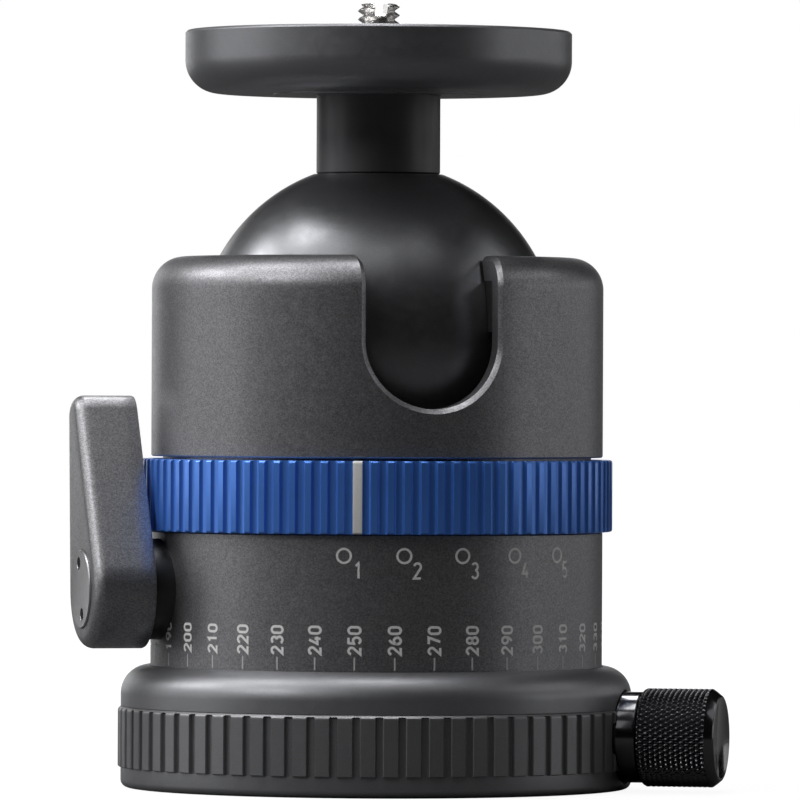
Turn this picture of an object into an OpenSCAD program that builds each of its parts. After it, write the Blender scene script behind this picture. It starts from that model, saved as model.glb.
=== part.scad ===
// Tripod ball head: panning base, split housing with a drop notch, friction ring, clamp lever,
// pan lock and a ball that carries a camera plate.
// The origin is the centre of the base's underside, on the pan axis. The drop notch faces -Y and
// the clamp lever is on the -X side. All sizes are in millimetres.

/* [Ball and housing] */
// Diameter of the ball
ball_d = 54; // [48:0.5:60]
// Depth of the ball's centre below the top of the housing
ball_drop = 12.8; // [11.5:0.1:14]
// Gap between the housing's lip and the ball
lip_gap = 0.68; // [0.4:0.02:1]
// Space between the ball and the housing's inner wall, which the friction cup swings in
cavity_space = 3; // [2.8:0.1:4]
// Wall of the upper housing
housing_wall = 3.75; // [3.2:0.05:5]
// Rounding of the upper housing's top edge
housing_round = 4.8; // [2:0.1:5.2]
// Height of the lower housing that shows above the base
lower_h = 20.05; // [19:0.05:24]
// Wall of the lower housing's core, beside the clamp mechanism
core_wall = 9.25; // [8:0.05:10]

/* [Drop notch] */
// Width of the drop notch
notch_w = 20; // [19.2:0.1:22]
// Height of the notch's arc centre above the ball's centre
notch_lift = 0.2; // [0:0.05:0.5]

/* [Base] */
// Height of the base
base_h = 18.25; // [17.6:0.05:22]
// Wall of the base cup
base_wall = 4.25; // [3.6:0.05:5.5]
// Floor of the base cup
base_floor = 3; // [2.5:0.1:4]
// Rounding of the base's bottom edge
base_edge = 1.1; // [0.4:0.1:1.6]
// Diameter of the hub that the turntable runs on
hub_d = 24; // [23:0.1:26]
// Height of the hub's top face
hub_top = 12; // [11:0.1:12.6]
// Diameter of the plate that holds the turntable down
retainer_d = 31; // [29:0.1:34]
// Thickness of that plate
retainer_t = 2; // [1.5:0.1:2.4]
// Diameter of the circle that its screws stand on
retainer_pcd = 19; // [18.6:0.1:19.6]
// Thickness of the pan bearing ring
bearing_t = 0.4; // [0.3:0.05:0.6]
// Radial width of the pan bearing ring
bearing_w = 6; // [4:0.1:8]

/* [Base grip ring] */
// How far the grip ring stands out of the base
grip_proud = 0.45; // [0.2:0.05:0.8]
// Height of the grip ring's lower edge
grip_z = 3.1; // [2.6:0.1:3.6]
// Height of the grip ring
grip_h = 9; // [8:0.1:10]
// Radial thickness of the grip ring
grip_t = 2; // [1.6:0.1:2.4]
// Number of grooves around the grip ring
grip_count = 72; // [48:1:90]
// Width of each groove
grip_groove_w = 1.12; // [0.8:0.02:1.4]
// Depth of each groove
grip_groove_depth = 0.6; // [0.3:0.05:0.9]

/* [Tripod thread] */
// Minor diameter of the tripod thread
thread_hole_d = 7.94; // [7.5:0.02:8.4]
// Length of the threaded insert
thread_len = 10; // [9:0.5:11]
// Outer diameter of the threaded insert
insert_d = 14; // [12:0.1:14.6]

/* [Friction ring] */
// How far the friction ring stands out of the housing
ring_proud = 1.45; // [0.8:0.05:1.7]
// Height of the friction ring
ring_h = 10.7; // [10:0.05:12]
// Number of flutes around the friction ring
ring_flutes = 90; // [60:1:100]
// Depth of each flute
flute_depth = 0.5; // [0.3:0.05:0.7]
// Share of each flute's pitch that the land takes
flute_land = 0.42; // [0.3:0.01:0.6]
// Polar angle of the index strip
ring_angle = 250.8; // [240:0.1:260]
// Width of the index strip
strip_w = 1.5; // [1:0.1:2]
// Ring travel below its rest position, in degrees
ring_back = 3.5; // [0:0.5:6]
// Ring travel above its rest position, in degrees
ring_ahead = 56.5; // [40:0.5:60]
// Diameter of the drive keys
key_d = 3; // [2:0.1:3.4]

/* [Clamp] */
// Depth of the lever's axis below the top of the lower housing
lever_drop = 8.6; // [8.2:0.05:8.8]
// Angle of the clamp shaft from the X axis, its lever end towards the drop notch
shaft_angle = 1.2; // [0:0.1:3]
// Diameter of the lever shaft in its bush
shaft_d = 8; // [7:0.1:9]
// Diameter of the shaft's clamp screw
clamp_screw_d = 6; // [5:0.1:6.4]
// Outer diameter of the lever bush
bush_d = 15; // [14:0.1:15.6]
// How far the bush stands out of the housing
bush_proud = 2.25; // [2.1:0.05:3]
// Height of the wedge's face above the shaft axis, at the middle
wedge_rise = 4.6; // [4.3:0.05:5]
// Slope of the wedge in degrees
wedge_slope = 12; // [10:0.5:13]
// Width of the wedge block
wedge_w = 14; // [12:0.1:15]
// Thickness of the clamp plunger over the wedge, at the middle
plunger_t = 3; // [2.9:0.05:4]
// Diameter of the clamp plunger
plunger_d = 27; // [26:0.1:28]
// Thickness of the metal friction cup
cup_t = 1; // [0.8:0.05:1.1]
// Thickness of the cup's liner
liner_t = 0.8; // [0.6:0.05:0.9]
// Half angle that the friction cup spans at the ball's centre
cup_angle = 50; // [45:1:52]

/* [Lever] */
// Thickness of the lever
lever_t = 9.3; // [7:0.1:10]
// Radius of the lever's boss
lever_boss_r = 8.8; // [8:0.1:9.6]
// Radius of the lever's tip
lever_tip_r = 3.4; // [2.8:0.1:6]
// Distance from the lever's axis to the centre of its tip
lever_reach = 26.1; // [20:0.1:32]
// Bevel around the lever's outer face
lever_bevel = 1.2; // [0.5:0.1:1.6]
// Lean of the lever from upright towards +Y, in degrees
lever_lean = 14.4; // [0:0.1:40]
// Diameter of the lever's cap
cap_d = 11.7; // [10:0.1:12.6]
// How far the cap stands out of the lever
cap_proud = 0.3; // [0.1:0.05:0.8]
// Diameter of the two spanner holes in the cap
cap_hole_d = 1.8; // [1.2:0.1:2.2]
// Distance between the spanner holes
cap_hole_gap = 7.8; // [7:0.1:8.4]

/* [Pan lock] */
// Height of the pan lock's axis
pan_lock_z = 8; // [7.6:0.05:8.4]
// Polar angle of the pan lock knob
knob_angle = -28; // [-60:0.1:0]
// Diameter of the knob
knob_d = 14.7; // [13:0.1:15.2]
// Length of the knob
knob_len = 11.7; // [9:0.1:15]
// Chamfer at the knob's outer end
knob_chamfer = 1.25; // [0.6:0.05:1.8]
// Diameter of the collar behind the knob
collar_d = 13.5; // [12:0.1:14]
// How far the collar stands out of the base
collar_proud = 2.7; // [2:0.05:3.5]
// Diameter of the pan lock spindle and its brake shoe
spindle_d = 6; // [5:0.1:6.6]

/* [Stem and plate] */
// Diameter of the stem
stem_d = 18.5; // [16:0.1:18.8]
// Length of the stem between the ball and the plate's boss
stem_len = 11.6; // [9.6:0.1:14]
// Diameter of the camera plate
plate_d = 57.8; // [50:0.1:64]
// Thickness of the camera plate
plate_t = 9.35; // [8.5:0.05:12]
// Rounding of the plate's lower edge
plate_round = 4.9; // [3:0.1:6]
// Chamfer of the plate's top edge
plate_chamfer = 0.35; // [0.2:0.05:0.6]
// Diameter of the boss under the plate
boss_d = 31.4; // [26:0.1:34]
// Height of that boss
boss_h = 0.3; // [0.2:0.05:0.8]
// Thickness of the pad in the plate's top
pad_t = 1; // [0.6:0.1:1.4]
// Diameter of the pad
pad_d = 53; // [44:0.1:54]
// Diameter of the camera screw
camera_screw_d = 6.25; // [6:0.01:6.35]
// Height of the camera screw above the plate
camera_screw_h = 4.1; // [3.6:0.1:5]
// Width of the camera screw's slot
slot_w = 1.9; // [1:0.05:2.2]
// Depth of the camera screw's slot
slot_depth = 1.6; // [1:0.05:2]
// Polar angle of the camera screw's slot
slot_angle = 83; // [0:1:180]

/* [Hidden] */
$fn = 96;

// Clearances
run_gap = 0.05;     // radial gap of a shaft in its bush
slide_gap = 0.1;    // gap of a part that slides or turns in a wide bore
turn_gap = 0.15;    // gap of the turntable in the base
free_gap = 0.2;     // gap between inner parts that pass each other
cut = 1;            // how far a cutter runs past what it cuts

// Ball and housing, from the ball outwards
ball_r = ball_d / 2;
liner_r = ball_r + slide_gap;
cup_ir = liner_r + liner_t;
cup_r = cup_ir + cup_t;
seat_r = cup_r + free_gap;
cavity_r = ball_r + cavity_space;
housing_r = cavity_r + housing_wall;
core_r = housing_r - core_wall;
ledge_r = retainer_d / 2 + 1.5;
base_bore_r = housing_r + turn_gap;
base_r = base_bore_r + base_wall;

// Threaded skirt of the upper housing and what turns and slides in it
skirt_r = housing_r - 1.75;
skirt_ir = skirt_r - 2.9;
nut_r = skirt_ir - free_gap;
nut_ir = nut_r - 3.4;
carrier_r = nut_ir - slide_gap;
ring_r = housing_r + ring_proud;
ring_ir = skirt_r + run_gap;

// Heights, from the base upwards
turntable_z = base_floor + bearing_t + run_gap;
flange_top = hub_top - turn_gap;
guide_z = base_h + 1.75;
guide_t = 2.5;
lower_top = base_h + lower_h;
lever_z = lower_top - lever_drop;
skirt_z = lower_top - 5.3;
ring_z = lower_top + run_gap;
upper_z = ring_z + ring_h + 0.35;
nut_z = ring_z + 3.15;
nut_top = ring_z + ring_h - 0.15;
clip_t = 0.8;
ball_z = lever_z + wedge_rise + plunger_t + seat_r;
housing_top = ball_z + ball_drop;
notch_z = ball_z + notch_lift;
lip_h = 3.7;
seat_rise = 1.6;
key_z = (nut_z + nut_top) / 2;
carrier_z = ring_z + 0.85;
plunger_bottom = lever_z + wedge_rise - 0.35;

// Fasteners
screw_r = 1.5;
screw_head_r = 2.6;
screw_head_h = 1.6;
screw_len = 6.5;
hex_r = 1.4;
hex_floor = 0.6;
bolt_depth = 12;
dowel_r = 1.25;
dowel_place = core_r - 3.5;
guide_screw_place = core_r - 4;
guide_screw_angle = 45;

// Pan lock, measured along its own axis from the pan axis
groove_depth = 2;
groove_floor = 0.2;
lock_seat = base_r - 0.65;
collar_end = lock_seat + collar_proud + 0.65;
knob_start = collar_end + slide_gap;
shoe_end = base_bore_r + 2;
collar_shank_r = spindle_d / 2 + 2;
shoe_gap = 0.12;

// Clamp shaft, measured along its own axis from the pan axis
bush_face = housing_r + bush_proud;
bush_seat = housing_r - 1.25;
bush_shank_r = bush_d / 2 - 1.5;
lever_face = bush_face + run_gap;
lever_end = lever_face + lever_t;
cap_seat_depth = 2.5;
screw_start = core_r - 4.5;
end_bush_len = 6;
clip_groove = 0.8;
wedge_front = 4;
wedge_back = 10;
rail_w = 2.4;
rail_over = 7;
rail_top = lever_z - 2.9;

// Stem and plate
stem_r = stem_d / 2;
flat_z = ball_z + sqrt(ball_r * ball_r - pow(stem_r + 0.45, 2));
stem_bottom = flat_z + slide_gap;
boss_z = ball_z + sqrt(ball_r * ball_r - stem_r * stem_r) + stem_len;
plate_z = boss_z + boss_h;
plate_top = plate_z + plate_t;
journal_r = 6;
sleeve_r = journal_r + 2;
sleeve_z = ball_z + 3.6;
web_t = 6;
bolt_r = 3;
bolt_head_r = 5;
bolt_head_h = 4;
ball_hole_r = bolt_head_r + 1.5;
screw_root_r = 4.7;
screw_root_z = plate_z + 2;
screw_shoulder = plate_top - 0.7;

// Points of an arc of radius r about [x, y], from angle a to angle b in n steps
function arc(x, y, r, a, b, n = 8) =
    [for (i = [0 : n]) let (t = a + (b - a) * i / n) [x + r * cos(t), y + r * sin(t)]];

// Points of the ball's concentric sphere of radius r in the half plane, between two heights
function sphere_arc(r, low, high, n = 10) =
    [for (i = [0 : n]) let (z = low + (high - low) * i / n) [sqrt(r * r - pow(ball_z - z, 2)), z]];

// Outline of a toothed disc: count grooves of the given width and depth, with round floors
function toothed(r, count, groove_w, depth, steps = 4) =
    [for (k = [0 : count - 1], i = [0 : steps])
        let (u = -1 + 2 * i / steps,
             t = 360 * (k + 0.5) / count + u * asin(groove_w / 2 / r),
             d = r - depth * sqrt(max(0, 1 - u * u)))
        [d * cos(t), d * sin(t)]];

// Turns a half-plane outline about Z
module lathe(points) {
    rotate_extrude() polygon(points);
}

// A tube that stands on height z
module tube(outer, inner, z, h) {
    translate([0, 0, z]) difference() {
        cylinder(r = outer, h = h);
        translate([0, 0, -cut]) cylinder(r = inner, h = h + 2 * cut);
    }
}

// A rod between two heights
module rod(r, low, high) {
    translate([0, 0, low]) cylinder(r = r, h = high - low);
}

// Places children along the pan lock's axis, pointing outwards
module along_lock() {
    rotate([0, 0, knob_angle]) translate([0, 0, pan_lock_z]) rotate([0, 90, 0]) children();
}

// Places children along the clamp shaft, pointing out towards the lever on the -X side
module along_shaft() {
    rotate([0, 0, shaft_angle]) translate([0, 0, lever_z]) rotate([0, -90, 0]) children();
}

// Places children around the Z axis
module around(count, radius, start = 0) {
    for (k = [0 : count - 1]) rotate([0, 0, start + 360 * k / count]) translate([radius, 0, 0]) children();
}

// ---- Base ----

module base_housing() {
    shoulder = base_wall;
    color("dimgray") difference() {
        union() {
            lathe(concat(
                [[hub_d / 2 - 2, 0]],
                arc(base_r - base_edge, base_edge, base_edge, -90, 0, 5),
                [[base_r, grip_z], [base_r + grip_proud - grip_t, grip_z],
                 [base_r + grip_proud - grip_t, grip_z + grip_h], [base_r, grip_z + grip_h]],
                arc(base_bore_r, base_h - shoulder, shoulder, 0, 90, 10),
                [[base_bore_r, base_floor], [hub_d / 2 - 2, base_floor]]));
            tube(hub_d / 2, insert_d / 2, 0, hub_top);
        }
        around(4, retainer_pcd / 2, 45) rod(screw_r + run_gap, hub_top - screw_len, hub_top + cut);
        along_lock() {
            rod(collar_d / 2 + run_gap, lock_seat, base_r + cut);
            rod(collar_shank_r, base_bore_r - cut, lock_seat + cut);
        }
    }
}

module base_grip_ring() {
    ring_outer = base_r + grip_proud;
    color("#3a3b3d") difference() {
        translate([0, 0, grip_z]) linear_extrude(grip_h) difference() {
            polygon(toothed(ring_outer, grip_count, grip_groove_w, grip_groove_depth));
            circle(r = ring_outer - grip_t);
        }
        along_lock() rod(collar_d / 2 + run_gap, lock_seat - 2, ring_outer + cut);
    }
}

module tripod_thread_insert() {
    color("silver") tube(insert_d / 2, thread_hole_d / 2, 0, thread_len);
}

module pan_bearing() {
    color("white") tube(base_bore_r - 1.9, base_bore_r - 1.9 - bearing_w, base_floor, bearing_t);
}

module retaining_plate() {
    color("silver") difference() {
        rod(retainer_d / 2, hub_top, hub_top + retainer_t);
        rod(thread_hole_d / 2 + 1, hub_top - cut, hub_top + retainer_t + cut);
        around(4, retainer_pcd / 2, 45) rod(screw_r + run_gap, hub_top - cut, hub_top + retainer_t + cut);
    }
}

module retaining_screws() {
    head_z = hub_top + retainer_t;
    color("#55565a") around(4, retainer_pcd / 2, 45) {
        rod(screw_r, hub_top + 1 - screw_len, head_z);
        difference() {
            rod(screw_head_r, head_z, head_z + screw_head_h);
            translate([0, 0, head_z + hex_floor]) cylinder(r = hex_r, h = screw_head_h, $fn = 6);
        }
    }
}

module pan_lock_bush() {
    color("#151515") along_lock() difference() {
        union() {
            rod(collar_d / 2, lock_seat, collar_end);
            rod(collar_shank_r, base_bore_r + 0.6, lock_seat);
        }
        rod(spindle_d / 2 + run_gap, base_bore_r - cut, collar_end + cut);
    }
}

// ---- Pan lock ----

// The shoe's nose is a cone parallel to the turntable's groove
module pan_brake_shoe() {
    groove_bottom = housing_r - groove_depth;
    nose = groove_bottom + groove_floor + shoe_gap * sqrt(2);
    nose_len = groove_depth + 0.45;
    color("#b08d57") along_lock() rotate_extrude() polygon([
        [0, nose], [groove_floor + 0.2, nose + 0.2 - groove_floor],
        [groove_floor + 0.2 + nose_len, nose + 0.2 - groove_floor + nose_len],
        [spindle_d / 2, nose + 0.2 - groove_floor + nose_len], [spindle_d / 2, shoe_end], [0, shoe_end]]);
}

module pan_spindle() {
    color("silver") along_lock() rod(spindle_d / 2, shoe_end + run_gap, knob_start + 6);
}

module pan_knob() {
    knob_end = knob_start + knob_len;
    color("#151515") along_lock() rotate_extrude() polygon([
        [spindle_d / 2, knob_start], [knob_d / 2 - 0.3, knob_start], [knob_d / 2, knob_start + 0.3],
        [knob_d / 2, knob_end - knob_chamfer], [knob_d / 2 - knob_chamfer * 0.8, knob_end],
        [knob_d / 2 - 2, knob_end - 0.1], [0, knob_end - 0.35], [0, knob_start + 6],
        [spindle_d / 2, knob_start + 6]]);
}

// ---- Housing ----

module lower_housing() {
    color("dimgray") difference() {
        lathe([
            [hub_d / 2 + slide_gap, turntable_z], [housing_r, turntable_z],
            [housing_r, pan_lock_z - groove_depth - groove_floor],
            [housing_r - groove_depth, pan_lock_z - groove_floor],
            [housing_r - groove_depth, pan_lock_z + groove_floor],
            [housing_r, pan_lock_z + groove_depth + groove_floor],
            [housing_r, lower_top], [skirt_r, lower_top], [skirt_r, skirt_z], [core_r, skirt_z],
            [core_r, guide_z], [ledge_r, guide_z], [ledge_r, flange_top],
            [hub_d / 2 + slide_gap, flange_top]]);
        along_shaft() {
            rod(bush_d / 2, bush_seat, housing_r + cut);
            rod(bush_shank_r, core_r - 2, bush_seat + cut);
            rod(clamp_screw_d / 2 + 2, -core_r - end_bush_len + 0.5, 2 - core_r);
        }
        around(2, guide_screw_place, guide_screw_angle) rod(screw_r + run_gap, guide_z - screw_len - 0.5, guide_z + cut);
    }
}

module upper_housing() {
    lip_r = sqrt(ball_r * ball_r - ball_drop * ball_drop) + lip_gap;
    shoulder_z = housing_top - lip_h;
    shoulder_r = sqrt(ball_r * ball_r - pow(shoulder_z - ball_z, 2)) + 0.48;
    slot_half = asin((key_d / 2 + 0.1) / skirt_ir) + 0.4;
    slot_h = key_d + 0.4;
    color("#4a4b4e") difference() {
        lathe(concat(
            [[skirt_ir, skirt_z], [skirt_r, skirt_z], [skirt_r, upper_z], [housing_r, upper_z]],
            arc(housing_r - housing_round, housing_top - housing_round, housing_round, 0, 90, 10),
            [[lip_r, housing_top], [shoulder_r, shoulder_z], [cavity_r, shoulder_z],
             [cavity_r, nut_top + 2.1], [skirt_ir - 1.5, nut_top + 2.1],
             [skirt_ir - 1.5, nut_top + free_gap], [skirt_ir, nut_top + free_gap],
             [skirt_ir, nut_z - free_gap], [skirt_ir + 0.5, nut_z - free_gap],
             [skirt_ir + 0.5, nut_z - free_gap - clip_t], [skirt_ir, nut_z - free_gap - clip_t]]));
        notch_cutter(notch_w / 2);
        for (k = [0 : 2]) rotate([0, 0, ring_angle + 120 * k - ring_back - slot_half])
            translate([0, 0, key_z - slot_h / 2])
                rotate_extrude(angle = ring_back + ring_ahead + 2 * slot_half)
                    translate([skirt_ir - cut, 0]) square([skirt_r - skirt_ir + 2 * cut, slot_h]);
        along_shaft() {
            rod(bush_shank_r, skirt_ir - 2, bush_seat + cut);
            rod(clamp_screw_d / 2 + 2, -core_r - end_bush_len + 0.5, -core_r);
        }
    }
}

// The notch's outline, swept from the ball's centre out through the -Y wall
module notch_cutter(half) {
    translate([0, 0, notch_z]) rotate([90, 0, 0]) linear_extrude(housing_r + cut)
        polygon(concat(arc(0, 0, half, -180, 0, 32),
            [[half, housing_top - notch_z + cut], [-half, housing_top - notch_z + cut]]));
}

module ball_seat_ring() {
    low = ball_z + seat_rise;
    high = housing_top - lip_h;
    color("ivory") difference() {
        lathe(concat([[cavity_r, low]], [[cavity_r, high]], sphere_arc(liner_r, high, low)));
        notch_cutter(notch_w / 2 + free_gap);
    }
}

module lever_bush() {
    color("#2b2b2c") along_shaft() difference() {
        union() {
            rod(bush_d / 2, bush_seat, bush_face);
            rod(bush_shank_r, core_r, bush_seat);
        }
        rod(shaft_d / 2 + run_gap, core_r - cut, bush_face + cut);
    }
}

module shaft_end_bush() {
    color("#b08d57") along_shaft() difference() {
        rod(clamp_screw_d / 2 + 2, -core_r - end_bush_len + 0.5, 0.5 - core_r);
        rod(clamp_screw_d / 2 + run_gap, -core_r - end_bush_len, 1 - core_r);
    }
}

module wedge_guide() {
    rail_len = wedge_front + wedge_back + 2 * rail_over;
    color("silver") difference() {
        union() {
            rod(core_r - run_gap, guide_z, guide_z + guide_t);
            rotate([0, 0, shaft_angle]) for (s = [-1, 1])
                translate([-wedge_front - rail_over, s * (wedge_w / 2 + slide_gap + rail_w / 2) - rail_w / 2, guide_z + guide_t - 0.5])
                    cube([rail_len, rail_w, rail_top - guide_z - guide_t + 0.5]);
        }
        around(2, guide_screw_place, guide_screw_angle) rod(screw_r + run_gap, guide_z - cut, guide_z + guide_t + cut);
        around(2, dowel_place, 90) rod(dowel_r, guide_z - cut, guide_z + guide_t + cut);
    }
}

module guide_screws() {
    head_z = guide_z + guide_t;
    color("#55565a") around(2, guide_screw_place, guide_screw_angle) {
        rod(screw_r, guide_z - screw_len, head_z);
        difference() {
            rod(screw_head_r, head_z, head_z + screw_head_h);
            translate([0, 0, head_z + hex_floor]) cylinder(r = hex_r, h = screw_head_h, $fn = 6);
        }
    }
}

module dowel_pins() {
    color("silver") around(2, dowel_place, 90) rod(dowel_r, guide_z, carrier_z + 3.8);
}

module nut_retaining_ring() {
    clip_z = nut_z - free_gap - clip_t;
    color("#55565a") difference() {
        tube(skirt_ir + 0.5, skirt_ir - 1.6, clip_z, clip_t);
        translate([skirt_ir - 4, -1.5, clip_z - cut]) cube([6, 3, clip_t + 2 * cut]);
    }
}

// ---- Friction ring ----

module friction_ring() {
    pitch = 2 * PI * ring_r / ring_flutes;
    color("#1668a8") difference() {
        translate([0, 0, ring_z]) rotate([0, 0, ring_angle + 180 / ring_flutes])
            linear_extrude(ring_h) difference() {
                polygon(toothed(ring_r, ring_flutes, pitch * (1 - flute_land), flute_depth));
                circle(r = ring_ir);
            }
        rotate([0, 0, ring_angle]) translate([ring_r - 1, -strip_w / 2, ring_z - cut])
            cube([1 + cut, strip_w, ring_h + 2 * cut]);
        drive_key_rods(0);
    }
}

module index_strip() {
    color("white") rotate([0, 0, ring_angle]) translate([ring_r - 1, -strip_w / 2, ring_z])
        cube([1 - 0.02, strip_w, ring_h]);
}

// The keys' rods, from inside the nut to inside the ring
module drive_key_rods(shrink) {
    for (k = [0 : 2]) rotate([0, 0, ring_angle + 120 * k]) translate([0, 0, key_z]) rotate([0, 90, 0])
        rod(key_d / 2 - shrink, nut_r - 1.2, ring_ir + 1.1);
}

module drive_keys() {
    color("silver") drive_key_rods(0);
}

module adjusting_nut() {
    color("#b08d57") difference() {
        tube(nut_r, nut_ir, nut_z, nut_top - nut_z);
        drive_key_rods(0);
    }
}

module preload_carrier() {
    carrier_top = nut_top;
    tube_bottom = plunger_bottom + 1.6;
    bore_r = plunger_d / 2 + slide_gap;
    seat = seat_r + 0.15;
    seat_low = ball_z - sqrt(seat * seat - bore_r * bore_r);
    color("silver") difference() {
        lathe(concat(
            [[bore_r, tube_bottom], [bore_r + 2.6, tube_bottom], [bore_r + 2.6, carrier_z],
             [carrier_r, carrier_z], [carrier_r, carrier_top]],
            sphere_arc(seat, carrier_top, seat_low)));
        around(2, dowel_place, 90) rod(dowel_r + run_gap, carrier_z - cut, carrier_z + 4.3);
    }
}

// ---- Clamp lever ----

// Outline of the lever, with its boss at the origin and its tip along +X
module lever_outline(inset) {
    hull() {
        circle(r = lever_boss_r - inset);
        translate([lever_reach, 0]) circle(r = lever_tip_r - inset);
    }
}

// Places children on the lever's axis, with +X along the lever
module along_lever() {
    along_shaft() rotate([0, 0, lever_lean]) children();
}

module lever_arm() {
    color("#4a4b4e") along_lever() difference() {
        hull() {
            translate([0, 0, lever_face]) linear_extrude(lever_t - lever_bevel) lever_outline(0);
            translate([0, 0, lever_face]) linear_extrude(lever_t) lever_outline(lever_bevel);
        }
        rod(shaft_d / 2, lever_face - cut, lever_end);
        rod(cap_d / 2, lever_end - cap_seat_depth, lever_end + cut);
    }
}

module lever_cap() {
    color("#8d9094") along_lever() difference() {
        rod(cap_d / 2, lever_end - cap_seat_depth, lever_end + cap_proud);
        for (s = [-1, 1]) translate([s * cap_hole_gap / 2, 0, 0])
            rod(cap_hole_d / 2, lever_end - 1.2, lever_end + cap_proud + cut);
    }
}

module lever_shaft() {
    color("silver") along_shaft() difference() {
        union() {
            rod(shaft_d / 2, screw_start, lever_end - cap_seat_depth);
            rod(clamp_screw_d / 2, 1 - core_r - end_bush_len, screw_start);
        }
        tube(shaft_d / 2 + cut, shaft_d / 2 - 0.5, core_r - run_gap - clip_groove, clip_groove);
    }
}

module shaft_clip() {
    color("#55565a") along_shaft()
        tube(shaft_d / 2 + 1.4, shaft_d / 2 - 0.5, core_r - run_gap - clip_groove, clip_groove);
}

module wedge_block() {
    bottom = guide_z + guide_t + run_gap;
    height = lever_z + wedge_rise - bottom;
    color("#b08d57") difference() {
        rotate([0, 0, shaft_angle]) translate([-wedge_front, wedge_w / 2, bottom]) rotate([90, 0, 0]) linear_extrude(wedge_w)
            polygon([[0, 0], [wedge_front + wedge_back, 0],
                [wedge_front + wedge_back, height + wedge_back * tan(wedge_slope)],
                [0, height - wedge_front * tan(wedge_slope)]]);
        along_shaft() rod(clamp_screw_d / 2 + run_gap, -wedge_back - cut, wedge_front + cut);
    }
}

module clamp_plunger() {
    roof = lever_z + wedge_rise + run_gap;
    reach = plunger_d / 2 + cut;
    rim_z = ball_z - sqrt(seat_r * seat_r - plunger_d * plunger_d / 4);
    color("silver") difference() {
        lathe(concat([[0, plunger_bottom], [plunger_d / 2, plunger_bottom]],
            sphere_arc(seat_r, rim_z, ball_z - seat_r + 0.0001)));
        rotate([0, 0, shaft_angle]) translate([0, wedge_w / 2 + free_gap, roof]) rotate([90, 0, 0])
            linear_extrude(wedge_w + 2 * free_gap) polygon([[-reach, -reach * tan(wedge_slope) - 9], [reach, -9],
                [reach, reach * tan(wedge_slope)], [-reach, -reach * tan(wedge_slope)]]);
    }
}

// ---- Ball and cup ----

// A shell of the ball's sphere, open towards the top
module ball_shell(outer, inner, angle) {
    lathe(concat(arc(0, ball_z, outer, -90, angle - 90, 14), arc(0, ball_z, inner, angle - 90, -90, 14)));
}

module friction_cup() {
    color("silver") ball_shell(cup_r, cup_ir, cup_angle);
}

module cup_liner() {
    color("ivory") ball_shell(cup_ir, liner_r, cup_angle);
}

module ball() {
    web_top = sleeve_z;
    color("#55575b") difference() {
        translate([0, 0, ball_z]) sphere(r = ball_r);
        translate([-ball_r, -ball_r, flat_z]) cube([ball_d, ball_d, ball_r]);
        rod(sleeve_r, web_top, flat_z + cut);
        rod(bolt_r + run_gap, web_top - web_t - cut, web_top + cut);
        rod(ball_hole_r, ball_z - ball_r - cut, web_top - web_t);
    }
}

module stem_sleeve() {
    color("#b08d57") tube(sleeve_r, journal_r + run_gap, sleeve_z, flat_z - sleeve_z);
}

// ---- Camera platform ----

module stem() {
    color("#55575b") difference() {
        union() {
            rod(stem_r, stem_bottom, boss_z);
            rod(journal_r, sleeve_z + run_gap, stem_bottom);
        }
        rod(bolt_r, sleeve_z - cut, boss_z - bolt_depth);
    }
}

module stem_bolt() {
    head_top = sleeve_z - web_t - run_gap;
    color("#55565a") difference() {
        union() {
            rod(bolt_r, head_top, boss_z - bolt_depth - 0.5);
            rod(bolt_head_r, head_top - bolt_head_h, head_top);
        }
        translate([0, 0, head_top - bolt_head_h - cut]) cylinder(r = 2.8, h = 2.5 + cut, $fn = 6);
    }
}

module camera_plate() {
    plate_r = plate_d / 2;
    color("#4a4b4e") difference() {
        lathe(concat([[0, boss_z], [boss_d / 2, boss_z], [boss_d / 2, plate_z]],
            arc(plate_r - plate_round, plate_z + plate_round, plate_round, -90, 0, 10),
            [[plate_r, plate_top - plate_chamfer], [plate_r - plate_chamfer, plate_top], [0, plate_top]]));
        rod(screw_root_r, screw_root_z, plate_top + cut);
        tube(pad_d / 2, screw_root_r + 4, plate_top - pad_t, pad_t + cut);
    }
}

module plate_pad() {
    color("#26272a") tube(pad_d / 2, screw_root_r + 4, plate_top - pad_t, pad_t);
}

module camera_screw() {
    tip = plate_top + camera_screw_h;
    color("silver") difference() {
        union() {
            rod(screw_root_r, screw_root_z, screw_shoulder);
            rod(camera_screw_d / 2, screw_shoulder, tip);
        }
        rotate([0, 0, slot_angle]) translate([-camera_screw_d, -slot_w / 2, tip - slot_depth])
            cube([2 * camera_screw_d, slot_w, slot_depth + cut]);
    }
}

base_housing();
base_grip_ring();
tripod_thread_insert();
pan_bearing();
retaining_plate();
retaining_screws();
pan_lock_bush();
pan_brake_shoe();
pan_spindle();
pan_knob();
lower_housing();
upper_housing();
ball_seat_ring();
lever_bush();
shaft_end_bush();
wedge_guide();
guide_screws();
dowel_pins();
nut_retaining_ring();
friction_ring();
index_strip();
drive_keys();
adjusting_nut();
preload_carrier();
lever_arm();
lever_cap();
lever_shaft();
shaft_clip();
wedge_block();
clamp_plunger();
friction_cup();
cup_liner();
ball();
stem_sleeve();
stem();
stem_bolt();
camera_plate();
plate_pad();
camera_screw();
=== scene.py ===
import math

import bmesh
import bpy
from mathutils import Matrix, Vector


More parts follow.
